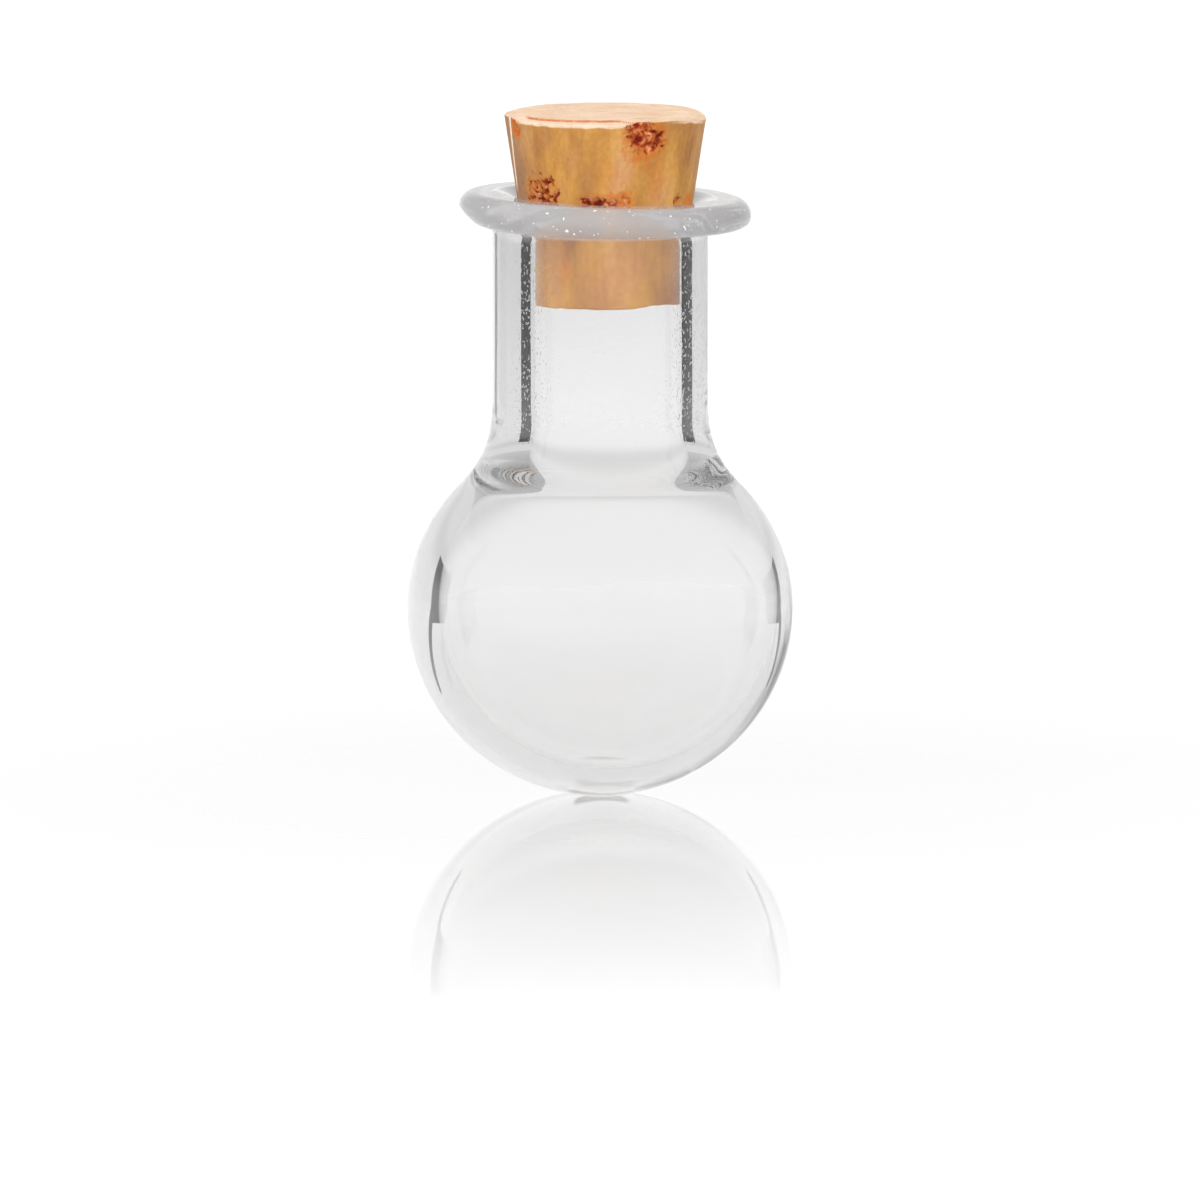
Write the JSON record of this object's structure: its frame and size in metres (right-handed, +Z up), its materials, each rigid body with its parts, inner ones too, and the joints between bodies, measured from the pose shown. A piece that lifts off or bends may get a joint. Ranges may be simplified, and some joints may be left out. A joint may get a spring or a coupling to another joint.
{
  "type": "round bottom flask",
  "caption": "Miniature round bottom flask in thick clear glass, with a short wide neck, a flat rolled lip and a tapered cork that pulls straight out.",
  "frame": {"origin": "middle of the small flattened foot under the bulb, on the surface that the flask stands on", "axes": "+Z up along the axis of the bulb and the neck; +X is the side where the glass wall is thinner; the part is symmetric about the XZ plane"},
  "size_m": [0.025, 0.025, 0.0443],
  "materials": {
    "clear_glass": "clear, colourless, glossy, with slight waves and small bubbles in the lip",
    "natural_cork": "matt natural cork, honey ochre with red-brown pits and a paler sanded top"
  },
  "bodies": {
    "flask": {"glass_flask": "clear_glass"},
    "cork": {"cork_stopper": "natural_cork"}
  },
  "joints": [
    {"name": "cork_pull", "type": "slide", "parent": "flask", "child": "cork", "axis": [0, 0, 1], "range_m": [0, 0.008]}
  ]
}
